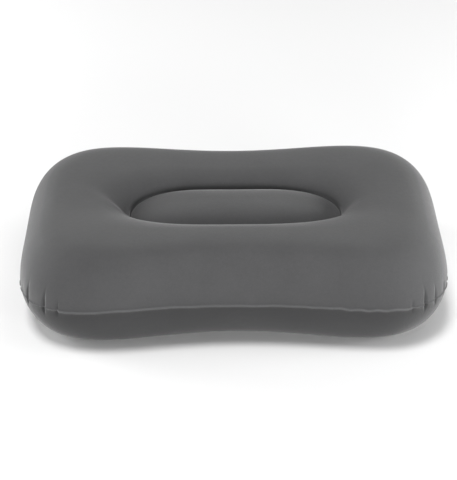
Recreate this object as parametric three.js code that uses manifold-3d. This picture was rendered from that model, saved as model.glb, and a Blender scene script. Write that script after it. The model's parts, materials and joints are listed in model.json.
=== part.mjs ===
// Inflatable camp pillow: two welded sheets, an internal tie band that holds the centre down,
// and a push-in stem valve with a plug cap in the middle of the rear wall.
//
// Millimetres, +Z up. The origin is the middle of the footprint, on the surface the pillow rests on.
// +X runs along the pillow's length, -Y is its front edge and +Y its rear edge, where the valve is.

import * as THREE from "three";
import { mergeVertices } from "three/addons/utils/BufferGeometryUtils.js";
import Module from "manifold-3d";

// ---------------------------------------------------------------- driving dimensions

const LENGTH = 426; // over the seam flange
const DEPTH = 260; // over the seam flange, at the lobes beside the waist
const HEIGHT = 100; // from the floor to the ring's crest, on the long sides and at the corners
const SHEET = 1.0; // thickness of the flocked PVC sheet
const GAP = 0.3; // left between pieces that touch

const SEAM_FLANGE = 3; // how far the welded edge stands out of the skin
const SEAM_HEIGHT = 49.6;
const SEAM_DROP_AT_WAIST = 2;
const SEAM_DROP_AT_ENDS = 14;
const SEAM_DROP_AT_CORNERS = 2.5;
const CREST_DROP_AT_ENDS = 4;
const OUTLINE_POWER = 4.3; // superellipse exponent of the seam line
const WAIST_PINCH = 0.166; // share of the depth lost at the middle of the long sides

const WELL_LENGTH = 206; // the oval weld line that bounds the centre
const WELL_DEPTH = 81.5;
const WELL_POWER = 2.52;
const WELD_HEIGHT = 81.3; // the oval weld on the top panel
const CROWN_RISE = 16; // the centre's bulge above that weld
const CROWN_POWER = 2.2; // how flat the bulge's middle is
const CROWN_FULLNESS = 1.3; // how steeply the bulge leaves the weld
const BASE_WELD_HEIGHT = 13; // the oval weld on the bottom panel
const BASE_CENTRE_HEIGHT = 4; // the bottom panel's middle, clear of the floor

const CREST_SHARE = 0.353; // where the crest lies between seam and oval weld
const CREST_SHARE_GAINED_AT_WAIST = 0.041;
const OUTER_WALL_POWER = 1.83;
const INNER_WALL_POWER = 2.73;
const BASE_WALL_POWER = 1.8;
const HOLLOW_POWER = 2;
const FOOT_INSET = 26.7; // from the seam to where the bottom panel meets the floor
const FOOT_INSET_GAINED_AT_ENDS = 6;
const FOOT_WIDTH = 10; // flat contact band that the pillow stands on

const TIE_TAB = 6; // weld tabs along both edges of the tie band
const VENT_RADIUS = 7; // holes that let air through the tie band
const VENT_PLACE = 0.25; // share of the oval's length from its middle to the side vents

// The valve, with lengths measured outwards along its axis from the panel's outer face.
const VALVE_HEIGHT = 72;
const LAND_RADIUS = 15; // the stiff flange holds the wall flat this far from the axis
const LAND_FADE = 8;
const PORT_RADIUS = 10; // hole in the panel
const FLANGE = { outer: 14, inner: 9.5, thick: 1.2 };
const PATCH = { outer: 13.2, inner: PORT_RADIUS + GAP, top: -1.8, thick: 1.1 };
const BOOT = { outer: 9.2, inner: 5.4, rim: 1.4, depth: 5.8, thick: 1.0 };
const STEM = { outer: 5.0, bore: 3.3, mouth: 4.0, end: -15, lip: 6.2, lipThick: 1.4 };
const COLLAR = { radius: 6.4, top: -5.7, thick: 1.3 };
const FLAP_SEAT = { recess: 4.2, recessDepth: 2.9, bore: 2.6, thick: 2.4 };
const FLAP = { radius: 4.4, thick: 0.7, tabWidth: 3, tabReach: 5.6 };
const CAP = { radius: 7, thick: 1.8, edge: 0.4, tabWidth: 6, tabReach: 10.5 };
const PLUG = { top: 3.0, tip: 1.8, depth: 5 };
const TETHER = { pivotY: 9.2, radius: 1.5, thick: 0.7, width: 4 };

// ---------------------------------------------------------------- how finely it is faceted

const RIBS = 88; // radial sections round the pillow
const RIB_CROWDING = 0.25; // how much closer the ribs stand at the waist
const OUTER_STEPS = 8; // rows from the seam to the crest
const INNER_STEPS = 6; // rows from the crest to the oval weld
const FOOT_STEPS = 6; // rows from the seam to the floor
const HOLLOW_STEPS = 4; // rows from the floor to the lower oval weld
const CENTRE_STEPS = 4; // rows from an oval weld to the middle
const ROUND_STEPS = 32; // sides of the valve's round pieces
const VENT_STEPS = 16;
const BEND_STEPS = 10; // facets of the tether's half circle

// ---------------------------------------------------------------- the skin's shape

// A point on a superellipse, at an angle from its centre.
function superellipse(halfX, halfY, power, angle) {
  const c = Math.cos(angle);
  const s = Math.sin(angle);
  const scale = (Math.abs(c) ** power + Math.abs(s) ** power) ** (-1 / power);
  return new THREE.Vector2(halfX * c * scale, halfY * s * scale);
}

// 1 in the middle of a side, falling smoothly to 0 at its ends.
function middleOf(share) {
  return (1 - Math.min(1, Math.abs(share)) ** 2) ** 2;
}

// The seam line before it is stretched to size: a rounded square with a waist in two sides.
function unitSeam(angle) {
  const p = superellipse(1, 1, OUTLINE_POWER, angle);
  return new THREE.Vector2(p.x, p.y * (1 - WAIST_PINCH * middleOf(p.x)));
}

const quarterTurn = Array.from({ length: 181 }, (_, i) => unitSeam((i / 360) * Math.PI));
const STRETCH_X = (LENGTH / 2 - SEAM_FLANGE) / Math.max(...quarterTurn.map((p) => p.x));
const STRETCH_Y = (DEPTH / 2 - SEAM_FLANGE) / Math.max(...quarterTurn.map((p) => p.y));

function seamPoint(angle) {
  const p = unitSeam(angle);
  return new THREE.Vector2(p.x * STRETCH_X, p.y * STRETCH_Y);
}

// How much a rib belongs to the long sides; the rest of it belongs to the ends.
function sideShare(p) {
  return (Math.abs(p.y) / p.length()) ** 4;
}

// 1 at a corner, falling quickly to 0 along both of its sides.
function cornerShare(p) {
  const corner = superellipse(1, 1, OUTLINE_POWER, Math.PI / 4);
  return Math.abs((p.x * p.y) / (corner.x * corner.y)) ** 4;
}

// One radial section: its seam point, the direction to the oval weld, and its heights.
function rib(angle) {
  const seam = seamPoint(angle);
  const weld = superellipse(WELL_LENGTH / 2, WELL_DEPTH / 2, WELL_POWER, angle);
  const inward = weld.clone().sub(seam);
  const width = inward.length();
  inward.divideScalar(width);
  const unit = superellipse(1, 1, OUTLINE_POWER, angle);
  const side = sideShare(unit);
  const waist = side * middleOf(unit.x);
  const end = (1 - side) * middleOf(unit.y);
  const step = 1e-3;
  const tangent = seamPoint(angle + step).sub(seamPoint(angle - step)).normalize();
  return {
    seam,
    weld,
    inward,
    width,
    outward: new THREE.Vector2(tangent.y, -tangent.x),
    seamHeight:
      SEAM_HEIGHT -
      SEAM_DROP_AT_WAIST * waist -
      SEAM_DROP_AT_ENDS * end -
      SEAM_DROP_AT_CORNERS * cornerShare(unit),
    crestHeight: HEIGHT - CREST_DROP_AT_ENDS * end,
    crest: width * (CREST_SHARE + CREST_SHARE_GAINED_AT_WAIST * waist),
    footInset: FOOT_INSET + FOOT_INSET_GAINED_AT_ENDS * (1 - side),
  };
}

// A point on a rib, at a distance in from the seam.
function onRib(r, inset, z) {
  return new THREE.Vector3(r.seam.x + r.inward.x * inset, r.seam.y + r.inward.y * inset, z);
}

// A point on the flange, at a distance out from the seam.
function onFlange(r, reach, z) {
  return new THREE.Vector3(r.seam.x + r.outward.x * reach, r.seam.y + r.outward.y * reach, z);
}

// cos and sin of a quarter turn, raised so that the quarter follows a superellipse.
function quarter(step, steps, power) {
  const turn = (step / steps) * (Math.PI / 2);
  return [Math.max(0, Math.cos(turn)) ** (2 / power), Math.sin(turn) ** (2 / power)];
}

// The top panel's outer face along one rib, from the flange's edge to near the middle.
function topSection(r) {
  const flangeTop = r.seamHeight + GAP / 2 + SHEET;
  const points = [onFlange(r, SEAM_FLANGE, flangeTop)];
  for (let i = 0; i <= OUTER_STEPS; i++) {
    const [c, s] = quarter(i, OUTER_STEPS, OUTER_WALL_POWER);
    const z = flangeTop + (r.crestHeight - flangeTop) * s;
    points.push(onRib(r, r.crest * (1 - c), z));
  }
  for (let i = INNER_STEPS - 1; i >= 0; i--) {
    const [c, s] = quarter(i, INNER_STEPS, INNER_WALL_POWER);
    const z = WELD_HEIGHT + (r.crestHeight - WELD_HEIGHT) * s;
    points.push(onRib(r, r.crest + (r.width - r.crest) * c, z));
  }
  for (let i = 1; i < CENTRE_STEPS; i++) {
    const share = 1 - i / CENTRE_STEPS;
    const z = WELD_HEIGHT + CROWN_RISE * crownShape(share);
    points.push(new THREE.Vector3(r.weld.x * share, r.weld.y * share, z));
  }
  return points.map(flattenAtValve);
}

// The centre's bulge: 0 on the oval weld and 1 in the middle.
function crownShape(share) {
  return (1 - share ** CROWN_POWER) ** (1 / CROWN_FULLNESS);
}

// The bottom panel's outer face along one rib, from the flange's edge to near the middle.
function bottomSection(r) {
  const flangeBottom = r.seamHeight - GAP / 2 - SHEET;
  const points = [onFlange(r, SEAM_FLANGE, flangeBottom)];
  for (let i = 0; i <= FOOT_STEPS; i++) {
    const [c, s] = quarter(i, FOOT_STEPS, BASE_WALL_POWER);
    points.push(onRib(r, r.footInset * (1 - c), flangeBottom * (1 - s)));
  }
  const heel = r.footInset + FOOT_WIDTH;
  for (let i = HOLLOW_STEPS; i >= 0; i--) {
    const [c, s] = quarter(i, HOLLOW_STEPS, HOLLOW_POWER);
    points.push(onRib(r, heel + (r.width - heel) * c, BASE_WELD_HEIGHT * (1 - s)));
  }
  for (let i = 1; i < CENTRE_STEPS; i++) {
    const share = 1 - i / CENTRE_STEPS;
    const drop = (BASE_WELD_HEIGHT - BASE_CENTRE_HEIGHT) * crownShape(share);
    points.push(new THREE.Vector3(r.weld.x * share, r.weld.y * share, BASE_WELD_HEIGHT - drop));
  }
  return points;
}

// ---------------------------------------------------------------- the valve's place

// The valve's axis leaves the rear wall at right angles, in the plane x = 0.
function valveFrame() {
  const r = rib(Math.PI / 2);
  const base = r.seamHeight + GAP / 2 + SHEET;
  const rise = r.crestHeight - base;
  const power = OUTER_WALL_POWER;
  const s = (VALVE_HEIGHT - base) / rise;
  const c = (1 - s ** power) ** (1 / power);
  const origin = new THREE.Vector3(0, r.seam.y - r.crest * (1 - c), VALVE_HEIGHT);
  const slope = [c ** (power - 1) / r.crest, s ** (power - 1) / rise];
  const axis = new THREE.Vector3(0, slope[0], slope[1]).normalize();
  const side = new THREE.Vector3(-1, 0, 0);
  const up = new THREE.Vector3().crossVectors(axis, side);
  return { origin, axis, side, up };
}

const VALVE = valveFrame();

// Draws the wall flat round the valve, where the stiff flange is welded to it.
function flattenAtValve(point) {
  const away = point.clone().sub(VALVE.origin);
  const out = away.dot(VALVE.axis);
  const radius = Math.sqrt(Math.max(0, away.lengthSq() - out * out));
  const free = THREE.MathUtils.smoothstep(radius, LAND_RADIUS, LAND_RADIUS + LAND_FADE);
  return point.clone().addScaledVector(VALVE.axis, -out * (1 - free));
}

// ---------------------------------------------------------------- meshes from sections

const ribs = Array.from({ length: RIBS }, (_, i) => {
  const turn = (i / RIBS) * Math.PI * 2;
  return rib(turn + RIB_CROWDING * Math.sin(2 * turn));
});

// Triangles between rings of RIBS points, the last of which closes on one middle point.
function ringTriangles(rings, first, flip) {
  const found = [];
  const add = (a, b, c) => found.push(...(flip ? [a, c, b] : [a, b, c]));
  for (let j = 0; j < rings; j++) {
    for (let i = 0; i < RIBS; i++) {
      const next = (i + 1) % RIBS;
      const a = first + j * RIBS + i;
      const b = first + j * RIBS + next;
      if (j === rings - 1) {
        add(a, b, first + rings * RIBS);
      } else {
        add(a, b, b + RIBS);
        add(a, b + RIBS, a + RIBS);
      }
    }
  }
  return found;
}

// A sheet of thickness SHEET whose outer face follows the sections; side is 1 for a face that
// looks up and -1 for one that looks down.
function panelGeometry(section, middleZ, side) {
  const sections = ribs.map(section);
  const rings = sections[0].length;
  const outer = [];
  for (let j = 0; j < rings; j++) {
    outer.push(...sections.map((points) => points[j]));
  }
  outer.push(new THREE.Vector3(0, 0, middleZ));

  const face = new THREE.BufferGeometry().setFromPoints(outer);
  face.setIndex(ringTriangles(rings, 0, side < 0));
  face.computeVertexNormals();
  const normals = face.getAttribute("normal");
  const inner = outer.map((p, i) =>
    p.clone().addScaledVector(new THREE.Vector3().fromBufferAttribute(normals, i), -SHEET),
  );

  const index = ringTriangles(rings, 0, side < 0);
  index.push(...ringTriangles(rings, outer.length, side > 0));
  for (let i = 0; i < RIBS; i++) {
    const next = (i + 1) % RIBS;
    const below = i + outer.length;
    const belowNext = next + outer.length;
    if (side > 0) index.push(i, below, belowNext, i, belowNext, next);
    else index.push(i, belowNext, below, i, next, belowNext);
  }
  const geometry = new THREE.BufferGeometry().setFromPoints([...outer, ...inner]);
  geometry.setIndex(index);
  return geometry;
}

// The tie band: an upright wall under the oval weld, with a weld tab along each edge.
function tieBandGeometry() {
  const low = BASE_WELD_HEIGHT + SHEET + GAP;
  const high = WELD_HEIGHT - SHEET - GAP;
  const profile = [
    [0, low],
    [TIE_TAB, low],
    [TIE_TAB, low + SHEET],
    [SHEET, low + SHEET],
    [SHEET, high - SHEET],
    [TIE_TAB, high - SHEET],
    [TIE_TAB, high],
    [0, high],
  ];
  const points = [];
  for (const [reach, z] of profile) {
    for (const r of ribs) {
      const towardsMiddle = r.weld.clone().normalize().multiplyScalar(-reach);
      points.push(new THREE.Vector3(r.weld.x + towardsMiddle.x, r.weld.y + towardsMiddle.y, z));
    }
  }
  const index = [];
  for (let j = 0; j < profile.length; j++) {
    for (let i = 0; i < RIBS; i++) {
      const next = (i + 1) % RIBS;
      const row = j * RIBS;
      const rowNext = ((j + 1) % profile.length) * RIBS;
      index.push(row + i, rowNext + next, row + next, row + i, rowNext + i, rowNext + next);
    }
  }
  return new THREE.BufferGeometry().setFromPoints(points).setIndex(index);
}

// ---------------------------------------------------------------- cutting with manifold-3d

const wasm = await Module();
wasm.setup();

function toSolid(geometry, matrix) {
  const bare = geometry.index ? geometry.toNonIndexed() : geometry.clone();
  bare.deleteAttribute("normal");
  bare.deleteAttribute("uv");
  if (matrix) bare.applyMatrix4(matrix);
  const merged = mergeVertices(bare, 1e-4);
  return new wasm.Manifold(
    new wasm.Mesh({
      numProp: 3,
      vertProperties: merged.getAttribute("position").array,
      triVerts: new Uint32Array(merged.index.array),
    }),
  );
}

function toGeometry(solid) {
  const mesh = solid.getMesh();
  const geometry = new THREE.BufferGeometry();
  geometry.setAttribute("position", new THREE.BufferAttribute(mesh.vertProperties, 3));
  geometry.setIndex(new THREE.BufferAttribute(mesh.triVerts, 1));
  return geometry;
}

// A cylinder's placing matrix: its own +Y axis laid along direction, at centre.
function along(direction, centre) {
  const turn = new THREE.Quaternion().setFromUnitVectors(
    new THREE.Vector3(0, 1, 0),
    direction.clone().normalize(),
  );
  return new THREE.Matrix4().compose(centre, turn, new THREE.Vector3(1, 1, 1));
}

// ---------------------------------------------------------------- materials

function flockedPvc(color) {
  return new THREE.MeshStandardMaterial({ color, roughness: 0.95, metalness: 0 });
}

function plainPvc(color) {
  return new THREE.MeshStandardMaterial({ color, roughness: 0.6, metalness: 0 });
}

const GREY = 0x6b6b6c;
const LIGHT_GREY = 0x8a8a8c;
const DARK = 0x2b2c2e;

const pillow = new THREE.Group();

function addMesh(name, geometry, material, parent = pillow) {
  const mesh = new THREE.Mesh(geometry, material);
  mesh.name = name;
  parent.add(mesh);
  return mesh;
}

// ---------------------------------------------------------------- panels and tie band

function addPanels() {
  const top = toSolid(panelGeometry(topSection, WELD_HEIGHT + CROWN_RISE, 1));
  const drill = new THREE.CylinderGeometry(PORT_RADIUS, PORT_RADIUS, 2 * PORT_RADIUS, ROUND_STEPS);
  const port = toSolid(drill, along(VALVE.axis, VALVE.origin));
  addMesh("top_panel", toGeometry(top.subtract(port)), flockedPvc(GREY));
  addMesh("bottom_panel", panelGeometry(bottomSection, BASE_CENTRE_HEIGHT, -1), flockedPvc(GREY));
}

function addTieBand() {
  const ventHeight = (WELD_HEIGHT + BASE_WELD_HEIGHT) / 2;
  const reach = WELL_LENGTH + 2 * TIE_TAB;
  const through = new THREE.CylinderGeometry(VENT_RADIUS, VENT_RADIUS, reach, VENT_STEPS);
  const lines = [
    [new THREE.Vector3(1, 0, 0), 0],
    [new THREE.Vector3(0, 1, 0), -WELL_LENGTH * VENT_PLACE],
    [new THREE.Vector3(0, 1, 0), WELL_LENGTH * VENT_PLACE],
  ];
  let band = toSolid(tieBandGeometry());
  for (const [direction, x] of lines) {
    const centre = new THREE.Vector3(x, 0, ventHeight);
    band = band.subtract(toSolid(through, along(direction, centre)));
  }
  addMesh("tie_band", toGeometry(band), plainPvc(LIGHT_GREY));
}

// ---------------------------------------------------------------- valve

// A solid of revolution about the valve's axis. The profile is [radius, out] points in order,
// anticlockwise when radius points right and out points up.
function turned(profile) {
  const closed = [...profile, profile[0]].map(([r, z]) => new THREE.Vector2(r, z));
  const lathe = new THREE.LatheGeometry(closed, ROUND_STEPS);
  return lathe.rotateX(Math.PI / 2);
}

function ringProfile(inner, outer, low, high) {
  return [
    [inner, low],
    [outer, low],
    [outer, high],
    [inner, high],
  ];
}

function stemProfile() {
  const { outer, bore, mouth, end, lip, lipThick } = STEM;
  const collarLow = COLLAR.top - COLLAR.thick;
  return [
    [FLAP_SEAT.recess, end],
    [outer, end],
    [outer, collarLow],
    [COLLAR.radius, collarLow],
    [COLLAR.radius, COLLAR.top],
    [outer, COLLAR.top],
    [outer, mouth - lipThick],
    [lip, mouth - lipThick],
    [lip, mouth],
    [bore, mouth],
    [bore, end + FLAP_SEAT.recessDepth],
    [FLAP_SEAT.recess, end + FLAP_SEAT.recessDepth],
  ];
}

function bootProfile() {
  const { outer, inner, rim, depth, thick } = BOOT;
  return [
    [inner, rim - depth - thick],
    [outer, rim - thick],
    [outer, rim],
    [inner, rim - depth],
  ];
}

function capProfile() {
  const low = STEM.mouth + GAP;
  const high = low + CAP.thick;
  return [
    [0, STEM.mouth - PLUG.depth],
    [PLUG.tip, STEM.mouth - PLUG.depth],
    [PLUG.top, STEM.mouth],
    [PLUG.top, low],
    [CAP.radius, low],
    [CAP.radius, high - CAP.edge],
    [CAP.radius - CAP.edge, high],
    [0, high],
  ];
}

// A disc with a tab on one side, as a flat outline in the valve's own X and Y.
function tabbedDisc(radius, tabWidth, reach) {
  const half = tabWidth / 2;
  const start = Math.asin(half / radius);
  const sign = Math.sign(reach);
  const from = sign > 0 ? Math.PI / 2 + start : -Math.PI / 2 + start;
  const shape = new THREE.Shape();
  shape.absarc(0, 0, radius, from, from + Math.PI * 2 - 2 * start, false);
  shape.lineTo(sign * half, reach);
  shape.lineTo(-sign * half, reach);
  return shape;
}

function plate(shape, low, thick) {
  const flat = new THREE.ExtrudeGeometry(shape, {
    depth: thick,
    bevelEnabled: false,
    curveSegments: ROUND_STEPS,
  });
  return flat.translate(0, 0, low);
}

// The cap with its plug, and a pull tab on the side away from the tether.
function capGeometry() {
  const low = STEM.mouth + GAP;
  const tab = new THREE.BoxGeometry(CAP.tabWidth, CAP.tabReach, CAP.thick - CAP.edge);
  tab.translate(0, -CAP.tabReach / 2, low + (CAP.thick - CAP.edge) / 2);
  return toGeometry(toSolid(turned(capProfile())).add(toSolid(tab)));
}

// A strap bent in a half circle round the hinge line, joining the stem's lip to the cap's edge.
function tetherGeometry() {
  const { pivotY, radius, thick, width } = TETHER;
  const centreZ = STEM.mouth + GAP / 2;
  const innerRadius = radius - thick;
  const shape = new THREE.Shape();
  shape.moveTo(STEM.lip + GAP, -radius);
  shape.lineTo(pivotY, -radius);
  shape.absarc(pivotY, 0, radius, -Math.PI / 2, Math.PI / 2, false);
  shape.lineTo(CAP.radius + GAP, radius);
  shape.lineTo(CAP.radius + GAP, innerRadius);
  shape.lineTo(pivotY, innerRadius);
  shape.absarc(pivotY, 0, innerRadius, Math.PI / 2, -Math.PI / 2, true);
  shape.lineTo(STEM.lip + GAP, -innerRadius);
  const strap = new THREE.ExtrudeGeometry(shape, {
    depth: width,
    bevelEnabled: false,
    curveSegments: BEND_STEPS,
  });
  // The outline's X becomes the valve's Y, and its Y the outward direction.
  const basis = new THREE.Matrix4().makeBasis(
    new THREE.Vector3(0, 1, 0),
    new THREE.Vector3(0, 0, 1),
    new THREE.Vector3(1, 0, 0),
  );
  return strap.translate(0, 0, -width / 2).applyMatrix4(basis).translate(0, 0, centreZ);
}

function addValve() {
  const valve = new THREE.Group();
  const { origin, axis, side, up } = VALVE;
  valve.position.copy(origin);
  valve.quaternion.setFromRotationMatrix(new THREE.Matrix4().makeBasis(side, up, axis));
  pillow.add(valve);

  const dark = plainPvc(DARK);
  const pale = plainPvc(LIGHT_GREY);
  const seatLow = STEM.end + FLAP_SEAT.recessDepth - GAP - FLAP_SEAT.thick;
  const patchLow = PATCH.top - PATCH.thick;
  const flapLow = STEM.end - GAP - FLAP.thick;
  const flapShape = tabbedDisc(FLAP.radius, FLAP.tabWidth, FLAP.tabReach);

  const pieces = [
    ["valve_flange", turned(ringProfile(FLANGE.inner, FLANGE.outer, GAP, GAP + FLANGE.thick)), dark],
    ["valve_patch", turned(ringProfile(PATCH.inner, PATCH.outer, patchLow, PATCH.top)), pale],
    ["valve_boot", turned(bootProfile()), dark],
    ["valve_stem", turned(stemProfile()), dark],
    [
      "flap_seat",
      turned(ringProfile(FLAP_SEAT.bore, FLAP_SEAT.recess - GAP, seatLow, seatLow + FLAP_SEAT.thick)),
      pale,
    ],
    ["check_flap", plate(flapShape, flapLow, FLAP.thick), pale],
    ["plug_cap", capGeometry(), dark],
    ["cap_tether", tetherGeometry(), dark],
  ];
  for (const [name, geometry, material] of pieces) addMesh(name, geometry, material, valve);
}

addPanels();
addTieBand();
addValve();

export default pillow;
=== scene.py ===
"""Looks for the inflatable camp pillow: flocked sheets, the welded seam and the push-in valve.

Metres, in the CAD part's own frame: +X along the pillow, -Y its front edge, +Z up.
"""

import json
import math

import bmesh
import bpy
import numpy as np
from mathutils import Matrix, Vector


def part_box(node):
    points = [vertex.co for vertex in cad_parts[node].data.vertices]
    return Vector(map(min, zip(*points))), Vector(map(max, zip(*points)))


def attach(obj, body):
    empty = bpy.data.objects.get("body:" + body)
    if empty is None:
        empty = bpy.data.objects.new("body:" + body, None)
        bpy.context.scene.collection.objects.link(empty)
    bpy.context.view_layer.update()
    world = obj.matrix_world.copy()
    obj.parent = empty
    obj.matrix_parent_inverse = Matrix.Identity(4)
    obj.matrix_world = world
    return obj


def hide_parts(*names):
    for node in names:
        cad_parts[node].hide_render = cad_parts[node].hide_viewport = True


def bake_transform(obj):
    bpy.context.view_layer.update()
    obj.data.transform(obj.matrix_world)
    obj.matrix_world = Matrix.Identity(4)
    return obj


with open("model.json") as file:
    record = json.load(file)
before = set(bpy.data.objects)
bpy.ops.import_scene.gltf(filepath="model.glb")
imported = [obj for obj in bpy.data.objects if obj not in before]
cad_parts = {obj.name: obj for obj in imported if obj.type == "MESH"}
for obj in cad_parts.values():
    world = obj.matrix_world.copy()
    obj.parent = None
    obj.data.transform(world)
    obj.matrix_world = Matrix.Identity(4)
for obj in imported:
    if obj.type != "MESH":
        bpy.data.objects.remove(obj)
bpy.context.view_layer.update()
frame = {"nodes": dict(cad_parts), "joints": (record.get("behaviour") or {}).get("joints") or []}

MM = 0.001

# ------------------------------------------------------------------ sizes

# The skin's proportions are those of the CAD panels, apart from a flatter centre and a less even
# oval; its extents are read from the frame.
SEAM_FLANGE = 3 * MM
SHEET = 0.6 * MM
SEAM_HEIGHT = 49.6 * MM
SEAM_DROP_AT_WAIST = 2 * MM
SEAM_DROP_AT_ENDS = 14 * MM
SEAM_DROP_AT_CORNERS = 2.5 * MM
CREST_DROP_AT_ENDS = 4 * MM
OUTLINE_POWER = 4.3
WAIST_PINCH = 0.166
WELL_POWER = 2.52
WELL_STRETCH_AT_RIGHT = 1.055  # the oval isn't quite even: its right end reaches further
WELL_PINCH_AT_REAR = 0.14  # and its rear side is a little straighter than its front
WELD_HEIGHT = 81.3 * MM
WELD_DROP_AT_ENDS = 8 * MM  # the groove is deepest at the oval's two ends
CROWN_RISE = 12.8 * MM
CROWN_POWER = 2.9
CROWN_FULLNESS = 1.3
CREST_SHARE = 0.353
CREST_SHARE_GAINED_AT_WAIST = 0.041
OUTER_WALL_POWER = 1.83
INNER_WALL_POWER = 2.73
BASE_WALL_POWER = 1.8
HOLLOW_POWER = 2
FOOT_INSET = 26.7 * MM
FOOT_INSET_GAINED_AT_ENDS = 6 * MM
FOOT_WIDTH = 10 * MM
BASE_WELD_HEIGHT = 13 * MM
BASE_CENTRE_HEIGHT = 4 * MM

_, top_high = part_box("top_panel")
_, band_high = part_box("tie_band")
HALF_LENGTH = top_high.x - SEAM_FLANGE
HALF_DEPTH = top_high.y - SEAM_FLANGE
HEIGHT = top_high.z
WELL_HALF_LENGTH = band_high.x
WELL_HALF_DEPTH = band_high.y

RIBS = 800
CORNER_CROWDING = 5  # how many more ribs stand at the corners, where the skin is puckered
CORNER_STRETCH = 55 * MM
FLANGE_LOST_AT_CORNERS = 0.72  # there the flange is drawn in by the puckers
CORNERS_FROM = 0.76  # share of the half-length where it starts to be drawn in
CORNERS_WHOLE = 0.88  # and where it is drawn in as far as it goes
FLANGE_LOST_AT_ENDS = 0.75  # there it is folded in under the wall
BULGE_AT_ENDS = 1.6 * MM  # and the wall stands out past it
END_SPREAD = 1.6  # how much further round this runs than the seam's drop at the ends
FLANGE_LEAST = 0.3  # share of the flange's thickness that is left where its width is lost

# Pinches across the seam: how far from each corner towards the pillow's end, how deep, and how
# far up the wall, in millimetres. The lists are for a left and a right front corner; the rear
# ones swap them.
LEFT_PINCHES = [
    (-42, 0.5, 4),
    (-27.4, 2.0, 9),
    (-12.9, 2.5, 14),
    (11.2, 2.5, 13),
    (24, 0.8, 7),
    (37, 1.4, 9),
    (54, 0.7, 8),
]
RIGHT_PINCHES = [
    (-27, 1.3, 4),
    (-12.4, 2.7, 13),
    (1.6, 1.7, 11),
    (20.8, 2.0, 9),
    (41.5, 2.4, 10),
    (57, 0.9, 8),
    (74, 0.5, 6),
]
PINCH_WIDTH = 1.35 * MM
PINCH_WIDE_FOOT = 1.15  # how many times that width it has at the seam
PINCH_TAPER = 0.4  # and how much of it is lost going up
PINCH_SHARE_BELOW = 0.4  # how far a pinch runs down the wall, as a share of how far it runs up
LOBE_SWELL = 0.15  # share of a pinch's depth that the skin beside it stands out
LOBE_PLACE = 7 * MM  # on both sides of the pinch
LOBE_WIDTH = 5.5 * MM
LOBE_REACH = 1.5  # as a share of the pinch's own reach

# The flange's small ups and downs: how many round the pillow, how high in millimetres, and phase.
WAVES = [(9, 0.3, 0), (23, 0.22, 1.3), (41, 0.14, 2.1)]
LIVELY_WAVE = (70, 0.5, 0.6)  # one more, on the right of the front only
LIVELY_PLACE = 120 * MM  # in x
LIVELY_STRETCH = 45 * MM
WAVE_REACH = 8 * MM  # how far up the wall they run

# Valleys in the ring beyond the oval's ends: which end, the direction's slant to the rear in
# degrees, and the length, the depth, and the widths on the front and rear sides in millimetres.
VALLEYS = [(-1, 40, 26, 7.5, 6.5, 20), (1, 28, 18, 5, 8, 15)]
VALLEY_START = -4  # in y, in millimetres
VALLEY_CLEAR = 3  # how far from the weld they start, in millimetres

# The camera: azimuth and elevation in degrees, and distance, from a point inside the pillow.
AIM = Vector((0, 0, 45 * MM))
AZIMUTH = -0.82
ELEVATION = 32.64
DISTANCE = 1.5254
SENSOR = 36  # millimetres, along the picture's longer side
LENS = 113.0025  # millimetres
SHIFT_X, SHIFT_Y = -0.0093333, 0.0012292  # shares of the picture's longer side

# Soft boxes: name, (azimuth, elevation, distance from the middle), edge length and power.
LIGHTS = [
    ("front", (0, 10, 1.8), 0.6, 17),
    ("front_right", (40, 8, 1.7), 0.6, 12.5),
    ("right", (90, 8, 1.5), 0.5, 17),
    ("left_back", (-110, 15, 1.5), 0.6, 15.5),
    ("left", (-90, 8, 1.5), 0.5, 4.5),
    ("high_right", (90, 65, 1.6), 1.0, 4.5),
]
OVERHEAD = (-60, 80)  # azimuth and elevation
OVERHEAD_SPREAD = 18  # degrees
OVERHEAD_STRENGTH = 2.0
LIT_POINT = (0, 0, 40 * MM)
WORLD_STRENGTH = 0.12


# ------------------------------------------------------------------ the skin's shape


def bump(distance, width):
    """1 at no distance, falling off to nothing a couple of widths away."""
    return np.exp(-((distance / width) ** 2))


def superellipse(power, angle):
    """Points on a superellipse that reaches 1 along both axes."""
    c, s = np.cos(angle), np.sin(angle)
    scale = (np.abs(c) ** power + np.abs(s) ** power) ** (-1 / power)
    return c * scale, s * scale


def middle_of(share):
    """1 in the middle of a side, falling smoothly to 0 at its ends."""
    return (1 - np.minimum(1, np.abs(share)) ** 2) ** 2


def unit_seam(angle):
    """The seam line before it is stretched to size: a rounded square with a waist in two sides."""
    x, y = superellipse(OUTLINE_POWER, angle)
    return x, y * (1 - WAIST_PINCH * middle_of(x))


def rib_angles(count):
    """Angles for the ribs, crowded at the corners, each one's distance along the seam, and the
    seam's whole length."""
    dense = np.linspace(0, 2 * math.pi, 7201)
    x, y = seam_line(dense)
    steps = np.hypot(np.diff(x), np.diff(y))
    along = np.concatenate([[0], np.cumsum(steps)])
    corner = np.hypot(np.abs(x) - HALF_LENGTH, np.abs(y) - HALF_DEPTH)
    crowd = 1 + CORNER_CROWDING * bump(corner[1:], CORNER_STRETCH)
    weight = np.concatenate([[0], np.cumsum(steps * crowd)])
    angle = np.interp(np.arange(count) / count * weight[-1], weight, dense)
    return angle, np.interp(angle, dense, along), along[-1]


def seam_line(angle):
    """The seam's x and y at angles round the pillow."""
    dense = np.linspace(0, math.pi / 2, 181)
    unit_x, unit_y = unit_seam(dense)
    x, y = unit_seam(angle)
    return x * HALF_LENGTH / unit_x.max(), y * HALF_DEPTH / unit_y.max()


def mark_pale_flange(piece, ribs, pale_rows):
    """Marks the points of a sheet's flange that are drawn paler: the pile the weld has flattened,
    and a painted highlight where the flange's edge catches the light.
    """
    flattened_and_highlit = piece.data.attributes.new("flattened_and_highlit", "FLOAT", "POINT")
    values = np.zeros(len(piece.data.vertices), dtype=np.float32)
    values[: pale_rows * RIBS] = np.tile(ribs.flange, pale_rows)
    flattened_and_highlit.data.foreach_set("value", values)


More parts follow.
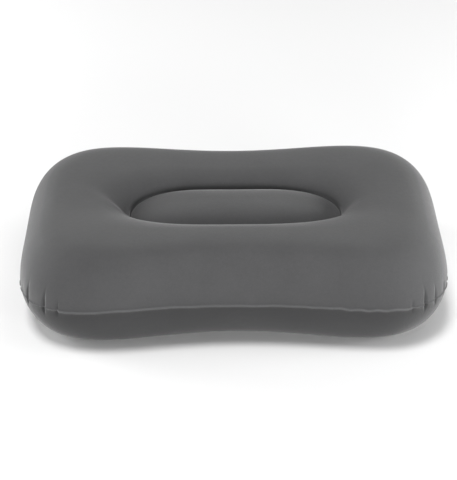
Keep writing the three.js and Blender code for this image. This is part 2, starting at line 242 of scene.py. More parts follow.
class Ribs:
    """The pillow's radial sections, one for each of count places along the seam."""

    def __init__(self, count):
        angle, self.along, self.round = rib_angles(count)
        self.seam = np.stack(seam_line(angle), -1)
        well_x, well_y = superellipse(WELL_POWER, angle)
        reach = WELL_HALF_LENGTH * np.where(well_x > 0, WELL_STRETCH_AT_RIGHT, 1)
        pinch = np.where(well_y > 0, WELL_PINCH_AT_REAR * middle_of(well_x), 0)
        self.weld = np.stack([well_x * reach, well_y * (1 - pinch) * WELL_HALF_DEPTH], -1)
        inward = self.weld - self.seam
        self.width = np.linalg.norm(inward, axis=1)
        self.inward = inward / self.width[:, None]
        tangent = np.stack(seam_line(angle + 1e-3), -1) - np.stack(seam_line(angle - 1e-3), -1)
        tangent /= np.linalg.norm(tangent, axis=1)[:, None]
        self.outward = np.stack([tangent[:, 1], -tangent[:, 0]], -1)
        x, y = superellipse(OUTLINE_POWER, angle)
        side = (np.abs(y) / np.hypot(x, y)) ** 4
        waist = side * middle_of(x)
        end = (1 - side) * middle_of(y)
        corner_x, corner_y = superellipse(OUTLINE_POWER, np.array(math.pi / 4))
        corner = np.abs(x * y / (corner_x * corner_y)) ** 4
        drop = SEAM_DROP_AT_WAIST * waist + SEAM_DROP_AT_ENDS * end + SEAM_DROP_AT_CORNERS * corner
        self.seam_z = SEAM_HEIGHT - drop
        self.crest_z = HEIGHT - CREST_DROP_AT_ENDS * end
        self.crest = self.width * (CREST_SHARE + CREST_SHARE_GAINED_AT_WAIST * waist)
        self.weld_z = WELD_HEIGHT - WELD_DROP_AT_ENDS * np.abs(well_x) ** 6
        self.foot = FOOT_INSET + FOOT_INSET_GAINED_AT_ENDS * (1 - side)
        self.end = np.minimum(1, END_SPREAD * end)
        share = np.abs(self.seam[:, 0]) / HALF_LENGTH
        near_corner = np.clip((share - CORNERS_FROM) / (CORNERS_WHOLE - CORNERS_FROM), 0, 1)
        kept = 1 - FLANGE_LOST_AT_CORNERS * near_corner
        self.flange = np.minimum(kept, 1 - FLANGE_LOST_AT_ENDS * self.end)

    def inside(self, inset, z):
        """A row of points, inset from the seam towards the oval weld."""
        z = np.broadcast_to(z, self.width.shape)
        return np.column_stack([self.seam + self.inward * np.reshape(inset, (-1, 1)), z])

    def outside(self, reach, rise):
        """A row of points out from the seam, on its flange."""
        z = self.seam_z + rise * (FLANGE_LEAST + (1 - FLANGE_LEAST) * self.flange)
        return np.column_stack([self.seam + self.outward * reach * self.flange[:, None], z])

    def centre(self, share, z):
        """A row of points within the oval weld, at a share of the way out to it."""
        z = np.broadcast_to(z, self.width.shape)
        return np.column_stack([self.weld * share, z])


def quarter(turn, power):
    """cos and sin of a quarter turn's angle, raised so that the quarter is a superellipse."""
    return max(0.0, math.cos(turn)) ** (2 / power), math.sin(turn) ** (2 / power)


def crown_shape(share):
    """The centre's bulge: 0 on the oval weld and 1 in the middle."""
    return (1 - share**CROWN_POWER) ** (1 / CROWN_FULLNESS)


# A flange's profile in millimetres: how far out from the seam, and how far from the weld's plane.
FLANGE_PROFILE = [
    (2.95, 0.1),
    (2.97, 0.45),
    (2.7, 0.75),
    (2.0, 0.8),
    (1.2, 0.75),
    (0.6, 0.95),
    (0.15, 1.9),
]
FLANGE_FACE = 0.7 * MM
CREST_REACH = 7  # rows on each side of the crest that are eased
CREST_PASSES = 12
TIE_RIBS = 160
TIE_ROWS = 8
TIE_CLEAR = 2 * MM  # between the band's edges and the sheets
TIE_INSET = 1 * MM
OUTER_ROWS = 24  # rows of points from the seam to the crest
INNER_ROWS = 20  # from the crest to the oval weld
CENTRE_ROWS = 11  # from an oval weld to the middle
FOOT_ROWS = 23  # from the seam to the floor
HOLLOW_ROWS = 17  # from the floor to the lower oval weld
FREE_ROWS_ABOVE = OUTER_ROWS - 3  # rows of the outer wall that air pressure may move
FREE_ROWS_BELOW = FOOT_ROWS - 2
PALE_FLANGE_ROWS_ABOVE = 5  # rows of the flange drawn paler, for flattened pile and a painted highlight, on the top sheet
PALE_FLANGE_ROWS_BELOW = 2  # and on the bottom one


def top_rows(ribs):
    """The top sheet's outer face: flange, outer wall, inner wall, weld and crowned centre."""
    rows = [ribs.outside(reach * MM, rise * MM) for reach, rise in FLANGE_PROFILE]
    foot = ribs.seam_z + FLANGE_FACE
    for turn in np.linspace(0, math.pi / 2, OUTER_ROWS + 2)[2:]:
        c, s = quarter(turn, OUTER_WALL_POWER)
        bulge = BULGE_AT_ENDS * ribs.end * math.sin(2 * turn)
        rows.append(ribs.inside(ribs.crest * (1 - c) - bulge, foot + (ribs.crest_z - foot) * s))
    for turn in np.linspace(math.pi / 2, 0, INNER_ROWS + 1)[1:]:
        c, s = quarter(turn, INNER_WALL_POWER)
        z = ribs.weld_z + (ribs.crest_z - ribs.weld_z) * s
        rows.append(ribs.inside(ribs.crest + (ribs.width - ribs.crest) * c, z))
    crown = WELD_HEIGHT + CROWN_RISE
    for turn in np.linspace(0, math.pi / 2, CENTRE_ROWS + 2)[1:-1]:
        share = math.cos(turn)
        rows.append(ribs.centre(share, ribs.weld_z + (crown - ribs.weld_z) * crown_shape(share)))
    return np.array(rows), crown


def bottom_rows(ribs):
    """The bottom sheet's outer face: flange, wall, foot, hollow, weld and centre."""
    rows = [ribs.outside(reach * MM, -rise * MM) for reach, rise in FLANGE_PROFILE]
    foot = ribs.seam_z - FLANGE_FACE
    for turn in np.linspace(0, math.pi / 2, FOOT_ROWS + 2)[2:]:
        c, s = quarter(turn, BASE_WALL_POWER)
        rows.append(ribs.inside(ribs.foot * (1 - c), foot * (1 - s)))
    heel = ribs.foot + FOOT_WIDTH
    for turn in np.linspace(math.pi / 2, 0, HOLLOW_ROWS):
        c, s = quarter(turn, HOLLOW_POWER)
        rows.append(ribs.inside(heel + (ribs.width - heel) * c, BASE_WELD_HEIGHT * (1 - s)))
    drop = BASE_WELD_HEIGHT - BASE_CENTRE_HEIGHT
    for turn in np.linspace(0, math.pi / 2, CENTRE_ROWS + 2)[1:-1]:
        share = math.cos(turn)
        rows.append(ribs.centre(share, BASE_WELD_HEIGHT - drop * crown_shape(share)))
    return np.array(rows), BASE_CENTRE_HEIGHT


# ------------------------------------------------------------------ meshes


def new_object(name, verts, faces):
    mesh = bpy.data.meshes.new(name)
    mesh.from_pydata([tuple(v) for v in verts], [], faces)
    mesh.update()
    made = bpy.data.objects.new(name, mesh)
    bpy.context.scene.collection.objects.link(made)
    mesh.shade_smooth()
    return made


def tube_faces(count, around):
    """Faces joining each of count rows of points to the next."""
    faces = []
    for j in range(count - 1):
        for i in range(around):
            k = (i + 1) % around
            a, b = j * around + i, j * around + k
            faces.append((a, b, b + around, a + around))
    return faces


def tube_object(name, rows):
    return new_object(name, rows.reshape(-1, 3), tube_faces(*rows.shape[:2]))


def grid_object(name, rows, middle, faces_up):
    """A sheet from rows of points round the pillow, closed on one point in the middle."""
    count, around = rows.shape[:2]
    verts = [*rows.reshape(-1, 3), (0, 0, middle)]
    faces = tube_faces(count, around)
    last = (count - 1) * around
    for i in range(around):
        faces.append((last + i, last + (i + 1) % around, count * around))
    if not faces_up:
        faces = [tuple(reversed(f)) for f in faces]
    return new_object(name, verts, faces)


def thicken(piece, thickness):
    """Gives a sheet its thickness, inwards from the face it was made with."""
    solidify = piece.modifiers.new("thickness", "SOLIDIFY")
    solidify.thickness = thickness
    solidify.offset = -1
    apply_modifiers(piece)


def apply_modifiers(piece):
    depsgraph = bpy.context.evaluated_depsgraph_get()
    baked = bpy.data.meshes.new_from_object(piece.evaluated_get(depsgraph))
    piece.modifiers.clear()
    piece.data = baked
    baked.shade_smooth()


# ------------------------------------------------------------------ puckers and waves


def round_distance(ribs, place):
    """Signed distance along the seam from place, the short way round."""
    away = ribs.along - place
    return (away + ribs.round / 2) % ribs.round - ribs.round / 2


def nearest_place(ribs, x, y):
    return ribs.along[np.argmin(np.hypot(ribs.seam[:, 0] - x, ribs.seam[:, 1] - y))]


def pinch_places(ribs):
    """(place along the seam, depth, reach) of every pinch, seven to a corner."""
    places = []
    for x in (-HALF_LENGTH, HALF_LENGTH):
        for y in (-HALF_DEPTH, HALF_DEPTH):
            corner = nearest_place(ribs, x, y)
            towards_end = 1 if x * y < 0 else -1
            pinches = LEFT_PINCHES if x * y > 0 else RIGHT_PINCHES
            for away, depth, reach in pinches:
                places.append((corner + towards_end * away * MM, depth * MM, reach * MM))
    return places


def pucker(ribs, rows, share):
    """Draws the skin in at each pinch, up to share of its reach, and swells it on both sides."""
    height = np.abs(rows[..., 2] - ribs.seam_z)
    swell = np.zeros(rows.shape[:2])
    for place, depth, reach in pinch_places(ribs):
        away = round_distance(ribs, place)
        climb = height / (reach * share)
        narrowing = PINCH_WIDTH * (PINCH_WIDE_FOOT - PINCH_TAPER * np.minimum(1, climb))
        swell -= depth * np.exp(-((away / narrowing) ** 2) - climb**3)
        lobes = bump(away - LOBE_PLACE, LOBE_WIDTH) + bump(away + LOBE_PLACE, LOBE_WIDTH)
        swell += LOBE_SWELL * depth * lobes * bump(climb, LOBE_REACH)
    rows[..., :2] += swell[..., None] * ribs.outward


def round_crest(rows):
    """Eases the skin's bend where its outer and inner walls meet."""
    crest = len(FLANGE_PROFILE) + OUTER_ROWS - 1
    for _ in range(CREST_PASSES):
        near = rows[crest - CREST_REACH : crest + CREST_REACH + 1]
        near[1:-1] = (near[:-2] + 2 * near[1:-1] + near[2:]) / 4


def crease_ends(ribs, rows):
    """Sinks a soft valley into the ring beyond each end of the oval, steep on its front side."""
    welded = len(FLANGE_PROFILE) + OUTER_ROWS + INNER_ROWS - 1
    ring = rows[:welded]
    from_weld = np.linalg.norm(ring[..., :2] - ribs.weld, axis=-1)
    for end, slant, length, depth, front, rear in VALLEYS:
        ahead = np.array([end * math.cos(math.radians(slant)), math.sin(math.radians(slant))])
        behind = np.array([-end * ahead[1], end * ahead[0]])
        away = ring[..., :2] - np.array([end * WELL_HALF_LENGTH, VALLEY_START * MM])
        along, across = away @ ahead / MM, away @ behind / MM
        side = np.where(across < 0, front, rear)
        fade = bump(np.maximum(0, along), length) * (1 - bump(from_weld, VALLEY_CLEAR * MM))
        ring[..., 2] -= depth * MM * bump(across, side) * fade * bump(np.minimum(0, along), rear)


def seam_wave(ribs):
    """The flange's small ups and downs, livelier on the right of the front."""
    turn = 2 * math.pi * ribs.along / ribs.round
    wave = sum(height * np.sin(count * turn + phase) for count, height, phase in WAVES)
    place = nearest_place(ribs, LIVELY_PLACE, -HALF_DEPTH)
    count, height, phase = LIVELY_WAVE
    lively = bump(round_distance(ribs, place), LIVELY_STRETCH)
    wave += height * lively * np.sin(count * turn + phase)
    return wave * MM


def wave_seam(ribs, rows):
    """Lifts and lowers the flange and the skin beside it."""
    height = np.abs(rows[..., 2] - ribs.seam_z)
    rows[..., 2] += seam_wave(ribs) * bump(height, WAVE_REACH)


# ------------------------------------------------------------------ the skin under air pressure

SIM_STEP = 2  # every second rib and row is simulated
SIM_FRAMES = 20
SIM_CAP = 1.5 * MM
SIM_EVENED = 20  # ribs of the coarse skin on each side over which its swelling is evened out
SIM_SLACK = 0.03  # how much longer than its place the skin is beside a corner's seam
SLACK_HEIGHT = 22 * MM
SLACK_STRETCH = 45 * MM


def air_pressure(ribs, rows, middle, pinned, faces_up):
    """Wrinkles rows as air pressure wrinkles the cloth and its slack between its welds. The even
    swelling is left out, because the shape has it already."""
    coarse = rows[::SIM_STEP, ::SIM_STEP]
    count, around = coarse.shape[:2]
    cloth = grid_object("air_pressure", coarse, middle, faces_up)
    pins = cloth.vertex_groups.new(name="pins")
    held = [j * around + i for j in range(count) for i in range(around) if pinned[j * SIM_STEP]]
    pins.add([*held, count * around], 1, "REPLACE")
    slack = cloth.vertex_groups.new(name="slack")
    corner = np.hypot(np.abs(coarse[..., 0]) - HALF_LENGTH, np.abs(coarse[..., 1]) - HALF_DEPTH)
    height = np.abs(coarse[..., 2] - ribs.seam_z[::SIM_STEP])
    weights = (bump(corner, SLACK_STRETCH) * bump(height, SLACK_HEIGHT)).ravel()
    for k in np.nonzero(weights > 0.01)[0]:
        slack.add([int(k)], float(weights[k]), "REPLACE")
    modifier = cloth.modifiers.new("cloth", "CLOTH")
    settings = modifier.settings
    settings.quality = 6
    settings.mass = 0.2
    settings.tension_stiffness = settings.compression_stiffness = 60
    settings.shear_stiffness = 30
    settings.bending_stiffness = 0.5
    settings.vertex_group_mass = "pins"
    settings.vertex_group_shrink = "slack"
    settings.shrink_max = -SIM_SLACK
    settings.use_pressure = True
    settings.uniform_pressure_force = 4
    settings.effector_weights.gravity = 0
    modifier.point_cache.frame_end = SIM_FRAMES
    for number in range(1, SIM_FRAMES + 1):
        bpy.context.scene.frame_set(number)
    depsgraph = bpy.context.evaluated_depsgraph_get()
    moved = np.array([v.co for v in cloth.evaluated_get(depsgraph).data.vertices])
    bpy.context.scene.frame_set(1)
    bpy.data.objects.remove(cloth)
    shift = moved[: count * around].reshape(count, around, 3) - coarse
    shift -= evened(shift, SIM_EVENED)
    length = np.linalg.norm(shift, axis=-1, keepdims=True)
    shift *= np.minimum(1, SIM_CAP / np.maximum(length, 1e-9))
    rows += finer(shift, rows.shape[:2])


def evened(values, reach):
    """Each value's mean over the ribs within reach on both sides: the swelling without the
    wrinkles."""
    around = values.shape[1]
    wrapped = np.concatenate([values[:, -reach:], values, values[:, :reach]], axis=1)
    total = np.cumsum(np.concatenate([np.zeros_like(wrapped[:, :1]), wrapped], axis=1), axis=1)
    span = 2 * reach + 1
    return (total[:, span : span + around] - total[:, :around]) / span


def finer(values, shape):
    """Values on the coarse grid, spread smoothly over the fine one."""
    across = np.arange(shape[1]) / SIM_STEP
    closed = np.concatenate([values, values[:, :1]], axis=1)
    wide = np.empty((values.shape[0], shape[1], 3))
    tall = np.empty((*shape, 3))
    for axis in range(3):
        for j in range(values.shape[0]):
            wide[j, :, axis] = np.interp(across, np.arange(closed.shape[1]), closed[j, :, axis])
        down = np.arange(shape[0]) / SIM_STEP
        for i in range(shape[1]):
            tall[:, i, axis] = np.interp(down, np.arange(values.shape[0]), wide[:, i, axis])
    return tall


# ------------------------------------------------------------------ materials


class Nodes:
    """Short calls for building a material's node tree."""

    def __init__(self, name):
        self.material = bpy.data.materials.new(name)
        self.material.use_nodes = True
        self.tree = self.material.node_tree
        self.shader = self.tree.nodes["Principled BSDF"]

    def add(self, kind, **settings):
        node = self.tree.nodes.new(kind)
        for key, value in settings.items():
            setattr(node, key, value)
        return node

    def link(self, output, socket):
        self.tree.links.new(output, socket)

    def noise(self, scale, detail=4, roughness=0.55):
        if not hasattr(self, "place"):
            self.place = self.add("ShaderNodeTexCoord").outputs["Object"]
        node = self.add("ShaderNodeTexNoise")
        node.inputs["Scale"].default_value = scale
        node.inputs["Detail"].default_value = detail
        node.inputs["Roughness"].default_value = roughness
        self.link(self.place, node.inputs["Vector"])
        return node.outputs["Fac"]

    def math(self, operation, a, b):
        node = self.add("ShaderNodeMath", operation=operation)
        for socket, value in zip(node.inputs, (a, b)):
            if isinstance(value, (int, float)):
                socket.default_value = value
            else:
                self.link(value, socket)
        return node.outputs[0]

    def spread(self, value, low, high):
        """value, from 0 to 1, stretched to run from low to high."""
        node = self.add("ShaderNodeMapRange")
        node.inputs["To Min"].default_value = low
        node.inputs["To Max"].default_value = high
        self.link(value, node.inputs["Value"])
        return node.outputs["Result"]

    def bump(self, height, strength, distance):
        node = self.add("ShaderNodeBump")
        node.inputs["Strength"].default_value = strength
        node.inputs["Distance"].default_value = distance
        self.link(height, node.inputs["Height"])
        self.link(node.outputs["Normal"], self.shader.inputs["Normal"])

    def tinted(self, color, shade):
        """color times a shade that varies about 1."""
        node = self.add("ShaderNodeMix", data_type="RGBA", blend_type="MULTIPLY")
        node.inputs["Factor"].default_value = 1
        node.inputs[6].default_value = (*color, 1)
        grey = self.add("ShaderNodeCombineColor")
        for channel in grey.inputs:
            self.link(shade, channel)
        self.link(grey.outputs["Color"], node.inputs[7])
        self.link(node.outputs[2], self.shader.inputs["Base Color"])

    def set(self, **values):
        for key, value in values.items():
            self.shader.inputs[key.replace("_", " ")].default_value = value


PALE_FLANGE_SHADE = 1.55  # how much paler the flange is drawn: pile flattened by the weld, and a painted highlight where the flange catches the light


def flocked(name, color):
    """PVC sheet with a short, dense pile: matt, paler at grazing angles, finely grained."""
    n = Nodes(name)
    nap = n.noise(28, detail=3)
    mottle = n.noise(260, detail=3)
    fibre = n.noise(1400, detail=3, roughness=0.7)
    shade = n.math("ADD", n.spread(nap, 0.39, 0.61), n.spread(mottle, 0.43, 0.57))
    shade = n.math("MULTIPLY", shade, n.spread(fibre, 0.7, 1.3))
    # The flange is drawn paler: partly the weld's flattened pile, partly a painted highlight
    # standing in for the light its edge catches.
    flattened_and_highlit = n.add("ShaderNodeAttribute", attribute_name="flattened_and_highlit").outputs["Fac"]
    shade = n.math("MULTIPLY", shade, n.spread(flattened_and_highlit, 1, PALE_FLANGE_SHADE))
    n.tinted(color, shade)
    n.bump(n.math("ADD", fibre, mottle), 0.5, 0.2 * MM)
    n.set(Roughness=0.92)
    n.set(Sheen_Weight=0.3, Sheen_Roughness=0.45, Sheen_Tint=(1, 1, 1, 1))
    n.set(Specular_IOR_Level=0.25)
    return n.material


def soft_pvc(name, color, roughness=0.42):
    """Moulded soft PVC: satin, with faint flow marks and a little surface grain."""
    n = Nodes(name)
    flow = n.noise(90, detail=2)
    grain = n.noise(1800, detail=2)
    n.tinted(color, n.math("ADD", n.spread(flow, 0.46, 0.54), n.spread(grain, 0.48, 0.52)))
    n.link(n.spread(flow, roughness - 0.07, roughness + 0.07), n.shader.inputs["Roughness"])
    n.bump(grain, 0.12, 0.05 * MM)
    n.set(Specular_IOR_Level=0.5)
    return n.material


def plain(name, color, roughness):
    n = Nodes(name)
    n.set(Base_Color=(*color, 1), Roughness=roughness)
    return n.material


def paint(piece, material):
    piece.data.materials.clear()
    piece.data.materials.append(material)


# ------------------------------------------------------------------ skin


def make_panels(over, under):
    ribs = Ribs(RIBS)
    rows, middle = top_rows(ribs)
    round_crest(rows)
    crease_ends(ribs, rows)
    pucker(ribs, rows, 1)
    wave_seam(ribs, rows)
    is_held = np.ones(len(rows), dtype=bool)
    is_held[len(FLANGE_PROFILE) : len(FLANGE_PROFILE) + FREE_ROWS_ABOVE] = False
    air_pressure(ribs, rows, middle, is_held, True)
    flatten_at_valve(rows)
    top = grid_object("top_sheet", rows, middle, True)
    mark_pale_flange(top, ribs, PALE_FLANGE_ROWS_ABOVE)
    rows, middle = bottom_rows(ribs)
    pucker(ribs, rows, PINCH_SHARE_BELOW)
    wave_seam(ribs, rows)
    is_held = np.ones(len(rows), dtype=bool)
    is_held[len(FLANGE_PROFILE) : len(FLANGE_PROFILE) + FREE_ROWS_BELOW] = False
    air_pressure(ribs, rows, middle, is_held, False)
    bottom = grid_object("bottom_sheet", rows, middle, False)
    mark_pale_flange(bottom, ribs, PALE_FLANGE_ROWS_BELOW)
    open_port(top)
    for piece, node, material in ((top, "top_panel", over), (bottom, "bottom_panel", under)):
        thicken(piece, SHEET)
        paint(piece, material)
        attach(piece, "pillow")
        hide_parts(node)


def make_tie_sheet(material):
    """The band inside that ties the two oval welds together."""
    ribs = Ribs(TIE_RIBS)
    low, high = BASE_WELD_HEIGHT + TIE_CLEAR, ribs.weld_z - TIE_CLEAR
    share = 1 - TIE_INSET / WELL_HALF_DEPTH
    rows = [ribs.centre(share, low + (high - low) * k / TIE_ROWS) for k in range(TIE_ROWS + 1)]
    band = tube_object("tie_sheet", np.array(rows))
    thicken(band, SHEET)
    paint(band, material)
    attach(band, "pillow")
    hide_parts("tie_band")


# ------------------------------------------------------------------ valve


def joint(name):
    return next(j for j in frame["joints"] if j["name"] == name)


def box_centre(node):
    low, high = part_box(node)
    return (low + high) / 2


VALVE_AXIS = Vector(joint("stem_pull_out")["axis"]).normalized()
VALVE_SIDE = Vector((-1, 0, 0))
VALVE_UP = VALVE_AXIS.cross(VALVE_SIDE)
FLANGE_MIDDLE = 0.9 * MM  # the outer flange's mid-plane, out from the wall's face
VALVE_ORIGIN = box_centre("valve_flange") - VALVE_AXIS * FLANGE_MIDDLE
PORT_RADIUS = 10.5 * MM
PORT_REFINED = 15 * MM  # the skin is meshed more finely out to here, so that its edge is even
PORT_CUTS = 3
LAND_RADIUS = 15 * MM
LAND_FADE = 8 * MM

# The valve's round pieces, in millimetres: lengths run outwards from the wall's face.
FLANGE_OUTER = 14
FLANGE_INNER = 9.5
WELD_RIDGES = (12.8, 11.7)
WELD_RIDGE_SECTION = [(0.35, 0.85), (0.12, 1.08), (-0.12, 1.08), (-0.35, 0.9)]
BOOT_RIM = 1.4
BOOT_HALF_THICK = (0.256, 0.192)  # across and along the axis, from the middle of its wall
STEM_RADIUS = 5
STEM_BORE = 3.3
STEM_MOUTH = 4
STEM_END = -15
SEAT_TOP = -12.1  # the wider bore that holds the flap's seat
SEAT_RADIUS = 4.2
CAP_RADIUS = 7
CAP_LOW = 4.3
CAP_HIGH = 6.1
PIVOT_Y = 9.2
PIVOT_OUT = 4.15
TETHER_BEND = 1.5
TETHER_HALF_THICK = 0.35
TETHER_ROOT = 6.2  # where the strap leaves the stem's lip
TETHER_STEP = 0.5  # between the points of its straight arms
TETHER_TURNS = 24  # steps round its bend


def valve_point(y, out, x=0):
    """A point given in millimetres in the valve's own frame: up its face, and outwards."""
    return VALVE_ORIGIN + (VALVE_SIDE * x + VALVE_UP * y + VALVE_AXIS * out) * MM


def valve_distances(points):
    """How far points lie out from the wall's face at the valve, and from the valve's axis."""
    away = points - np.array(VALVE_ORIGIN)
    out = away @ np.array(VALVE_AXIS)
    return out, np.linalg.norm(away - out[..., None] * np.array(VALVE_AXIS), axis=-1)


def flatten_at_valve(rows):
    """Draws the wall flat round the valve, where the stiff flange is welded to it."""
    out, radius = valve_distances(rows)
    share = np.clip((radius - LAND_RADIUS) / LAND_FADE, 0, 1)
    free = share * share * (3 - 2 * share)
    rows -= (out * (1 - free))[..., None] * np.array(VALVE_AXIS)


def points_at_port(shape, reach):
    out, radius = valve_distances(np.array([v.co for v in shape.verts]))
    inside = (radius < reach) & (np.abs(out) < reach)
    return [v for v, is_inside in zip(shape.verts, inside) if is_inside]


def open_port(piece):
    """Deletes the faces inside the valve's port; its edge lies under the valve's flange."""
    shape = bmesh.new()
    shape.from_mesh(piece.data)
    near = set(points_at_port(shape, PORT_REFINED))
    edges = [e for e in shape.edges if near.issuperset(e.verts)]
    bmesh.ops.subdivide_edges(shape, edges=edges, cuts=PORT_CUTS, use_grid_fill=True)
    bmesh.ops.delete(shape, geom=points_at_port(shape, PORT_RADIUS), context="VERTS")
    shape.to_mesh(piece.data)
    shape.free()


def rounded(corners, radius, steps=4):
    """A closed outline whose corners off the axis are rounded to about radius."""
    made = []
    for i, corner in enumerate(corners):
        here = Vector(corner)
        before = Vector(corners[i - 1]) - here
        after = Vector(corners[(i + 1) % len(corners)]) - here
        if here.x < 1e-6:
            made.append(here)
            continue
        cut = min(radius, before.length * 0.45, after.length * 0.45)
        start, end = here + before.normalized() * cut, here + after.normalized() * cut
        for k in range(steps + 1):
            t = k / steps
            made.append(start * (1 - t) ** 2 + here * 2 * t * (1 - t) + end * t * t)
    return made


def lathe(name, corners, radius=0.3, segments=96):
    """A solid of revolution about the valve's axis, from (radius, out) corners in millimetres."""
    outline = rounded(corners, radius)
    verts, faces, first = [], [], []
    for point in outline:
        first.append(len(verts))
        around = 1 if point.x < 1e-6 else segments
        for k in range(around):
            turn = 2 * math.pi * k / segments
            verts.append(valve_point(point.x * math.sin(turn), point.y, point.x * math.cos(turn)))
    for i, point in enumerate(outline):
        other = outline[(i + 1) % len(outline)]
        a, b = first[i], first[(i + 1) % len(outline)]
        for k in range(segments):
            n = (k + 1) % segments
            if point.x > 1e-6 and other.x > 1e-6:
                faces.append((a + k, a + n, b + n, b + k))
            elif point.x > 1e-6:
                faces.append((a + k, a + n, b))
            elif other.x > 1e-6:
                faces.append((a, b + n, b + k))
    return face_outwards(new_object(name, verts, faces))


def face_outwards(piece):
    shape = bmesh.new()
    shape.from_mesh(piece.data)
    bmesh.ops.recalc_face_normals(shape, faces=shape.faces)
    shape.to_mesh(piece.data)
    shape.free()
    piece.data.shade_smooth()
    return piece


def block(name, centre, size, radius=0.4, segments=4):
    """A rounded block in the valve's frame, centre and size as (across, up, out) millimetres."""
    made = []
    for x in (-0.5, 0.5):
        for y in (-0.5, 0.5):
            for z in (-0.5, 0.5):
                made.append([c + k * s for c, k, s in zip(centre, (x, y, z), size)])
    verts = [valve_point(y, z, x) for x, y, z in made]
    faces = [(0, 1, 3, 2), (4, 6, 7, 5), (0, 4, 5, 1), (2, 3, 7, 6), (0, 2, 6, 4), (1, 5, 7, 3)]
    piece = face_outwards(new_object(name, verts, faces))
    bevel = piece.modifiers.new("rounding", "BEVEL")
    bevel.width = radius * MM
    bevel.segments = segments
    apply_modifiers(piece)
    return piece


def finish_piece(piece, material, slot, body, *nodes):
    paint(piece, material)
    if body:
        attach(piece, body)
    if nodes:
        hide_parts(*nodes)


def make_valve_flange(material):
    """The ring welded to the wall, with two raised weld lines and a rolled inner edge."""
    corners = [(FLANGE_INNER, 0.25), (FLANGE_OUTER, 0.05), (FLANGE_OUTER, 0.7)]
    for ridge in WELD_RIDGES:
        corners += [(ridge + away, out) for away, out in WELD_RIDGE_SECTION]
    corners += [(10.6, 1.0), (10.2, 1.5), (FLANGE_INNER, 1.5)]
    finish_piece(lathe("valve_ring", corners, 0.2), material, "dark_pvc", "pillow", "valve_flange")


def make_boot(material):
    """The soft cone between ring and stem, which turns inside out as the stem is pulled."""
    line = [(9.3, BOOT_RIM - 0.1), (8.9, -0.4), (8.2, -1.9), (7.4, -3.2), (6.5, -4.2), (5.3, -4.5)]
    across, along = BOOT_HALF_THICK
    corners = [(r + across, z + along) for r, z in line]
    corners += [(r - across, z - along) for r, z in reversed(line)]
    boot = lathe("valve_cone", corners, 0.25)
    finish_piece(boot, material, "dark_pvc", None, "valve_boot")
    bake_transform(boot)


def make_stem(material):
    """The tube, with a collar inside the boot, a lip at its mouth and a seat for the flap."""
    collar = [(STEM_RADIUS, -7.0), (6.4, -7.0), (6.4, -5.7), (STEM_RADIUS, -5.7)]
    lip = [(STEM_RADIUS, 2.6), (6.2, 2.6), (6.2, STEM_MOUTH), (STEM_BORE, STEM_MOUTH)]
    inner = [(STEM_BORE, SEAT_TOP), (SEAT_RADIUS, SEAT_TOP), (SEAT_RADIUS, STEM_END)]
    stem = lathe("valve_tube", collar + lip + inner + [(STEM_RADIUS, STEM_END)], 0.3)
    finish_piece(stem, material, "dark_pvc", "stem", "valve_stem")


def make_cap(material):
    """The plug cap: a tapered plug with a barb, a dished top and a ridged pull tab."""
    plug = [(0, -1.0), (1.7, -1.0), (2.9, 1.6), (2.7, 2.2), (3.0, CAP_LOW)]
    disc = [(CAP_RADIUS, CAP_LOW), (CAP_RADIUS, CAP_HIGH), (6.0, CAP_HIGH), (5.5, CAP_HIGH - 0.4)]
    cap = lathe("cap_disc", plug + disc + [(0, CAP_HIGH - 0.5)], 0.3)
    finish_piece(cap, material, "dark_pvc", "cap", "plug_cap")
    tab = block("cap_tab", (0, -8.2, 5.0), (5.8, 4.4, 1.3), 0.5)
    finish_piece(tab, material, "dark_pvc", "cap")
    for k in range(3):
        ridge = block(f"cap_tab_ridge_{k}", (0, -8.0 - 0.85 * k, 5.75), (4.4, 0.4, 0.4), 0.15)
        finish_piece(ridge, material, "dark_pvc", "cap")


def make_tether(material):
    """The strap that bends when the cap is opened: two arms and a half-round bend."""
    bend = TETHER_BEND - TETHER_HALF_THICK
    path = [(TETHER_ROOT + TETHER_STEP * k, PIVOT_OUT - bend) for k in range(6)]
    for k in range(TETHER_TURNS + 1):
        turn = -math.pi / 2 + math.pi * k / TETHER_TURNS
        path.append((PIVOT_Y + bend * math.cos(turn), PIVOT_OUT + bend * math.sin(turn)))
    path += [(PIVOT_Y - TETHER_STEP * k, PIVOT_OUT + bend) for k in range(1, 6)]
    half = [(-1.8, -TETHER_HALF_THICK), (1.8, -TETHER_HALF_THICK), (2, -0.2), (2, 0.2)]
    section = [(-2, -0.2)] + half + [(1.8, TETHER_HALF_THICK), (-1.8, TETHER_HALF_THICK), (-2, 0.2)]
    verts, faces = [], []
    for i, (y, out) in enumerate(path):
        before, after = path[max(0, i - 1)], path[min(len(path) - 1, i + 1)]
        ahead = Vector((after[0] - before[0], after[1] - before[1])).normalized()
        for across, off in section:
            verts.append(valve_point(y - ahead.y * off, out + ahead.x * off, across))
    sides = len(section)
    for i in range(len(path) - 1):
        for k in range(sides):
            n = (k + 1) % sides
            a, b = i * sides, (i + 1) * sides
            faces.append((a + k, a + n, b + n, b + k))
    faces.append(tuple(range(sides)))
    faces.append(tuple(range((len(path) - 1) * sides, len(path) * sides)))
    tether = face_outwards(new_object("cap_strap", verts, faces))
    finish_piece(tether, material, "dark_pvc", None, "cap_tether")
    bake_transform(tether)


def make_valve(dark, pale, sheet):
    make_valve_flange(dark)
    make_boot(dark)
    make_stem(dark)
    make_cap(dark)
    make_tether(dark)
    for node, material in (("flap_seat", pale), ("check_flap", pale), ("valve_patch", sheet)):
        carried = frame["nodes"][node]
        carried.data.materials.clear()
        carried.data.materials.append(material)


# ------------------------------------------------------------------ stage, light and camera


def make_stage():
    """A pale floor, so wide that its edges are out of sight."""
    size = 30
    corners = [(-size, -size, 0), (size, -size, 0), (size, size, 0), (-size, size, 0)]
    floor = new_object("floor", corners, [(0, 1, 2, 3)])
    floor.data.materials.append(plain("floor", (0.8, 0.8, 0.8), 0.95))


def area_light(name, place, target, size, power):
    data = bpy.data.lights.new(name, "AREA")
    data.size = size
    data.energy = power
    aim_light(name, data, place, target)


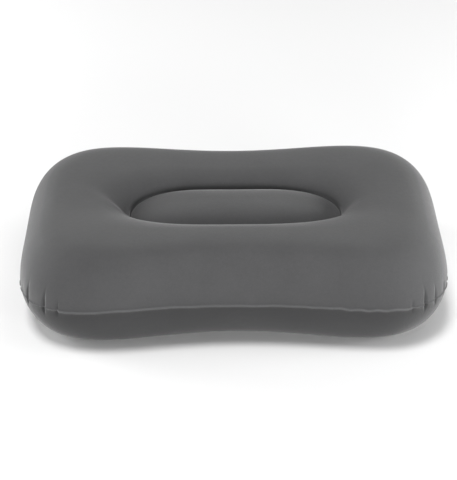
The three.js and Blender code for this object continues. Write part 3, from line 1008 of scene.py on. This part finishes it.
def aim_light(name, data, place, target):
    light = bpy.data.objects.new(name, data)
    light.location = place
    facing = Vector(target) - Vector(place)
    light.rotation_euler = facing.to_track_quat("-Z", "Y").to_euler()
    light.visible_camera = False
    bpy.context.scene.collection.objects.link(light)


def around(azimuth, elevation, distance):
    """A place round the pillow: azimuth 0 is in front of it and 90 on its right."""
    turn, rise = math.radians(azimuth), math.radians(elevation)
    flat = math.cos(rise) * distance
    return flat * math.sin(turn), -flat * math.cos(turn), distance * math.sin(rise)


def make_lights():
    for name, place, size, power in LIGHTS:
        area_light(name, around(*place), LIT_POINT, size, power)
    overhead = bpy.data.lights.new("overhead", "SUN")
    overhead.energy = OVERHEAD_STRENGTH
    overhead.angle = math.radians(OVERHEAD_SPREAD)
    aim_light("overhead", overhead, around(*OVERHEAD, 2), LIT_POINT)
    world = bpy.data.worlds.new("studio")
    world.use_nodes = True
    background = world.node_tree.nodes["Background"]
    background.inputs["Color"].default_value = (1, 1, 1, 1)
    background.inputs["Strength"].default_value = WORLD_STRENGTH
    bpy.context.scene.world = world
    bpy.context.scene.view_settings.view_transform = "Standard"


def make_camera():
    azimuth, elevation = math.radians(AZIMUTH), math.radians(ELEVATION)
    flat = math.cos(elevation)
    back = Vector((math.sin(azimuth) * flat, -math.cos(azimuth) * flat, math.sin(elevation)))
    data = bpy.data.cameras.new("camera")
    data.sensor_width = SENSOR
    data.lens = LENS
    data.shift_x, data.shift_y = SHIFT_X, SHIFT_Y
    data.clip_end = 50
    camera = bpy.data.objects.new("camera", data)
    camera.location = AIM + back * DISTANCE
    camera.rotation_euler = back.to_track_quat("Z", "Y").to_euler()
    bpy.context.scene.collection.objects.link(camera)
    bpy.context.scene.camera = camera


make_camera()
make_lights()
make_stage()
grey_flock = flocked("grey_flock", (0.06, 0.06, 0.0612))
# The bottom sheet is the same flock in a darker copy: painted shade, for the dim light that reaches
# the pillow's underside.
shaded_under_flock = flocked("shaded_under_flock", (0.036, 0.036, 0.0367))
make_panels(grey_flock, shaded_under_flock)
dark_pvc = soft_pvc("dark_pvc", (0.05, 0.05, 0.053))
pale_pvc = soft_pvc("pale_pvc", (0.4, 0.4, 0.41))
plain_sheet = soft_pvc("plain_sheet", (0.25, 0.25, 0.255), 0.5)
make_tie_sheet(plain_sheet)
make_valve(dark_pvc, pale_pvc, plain_sheet)
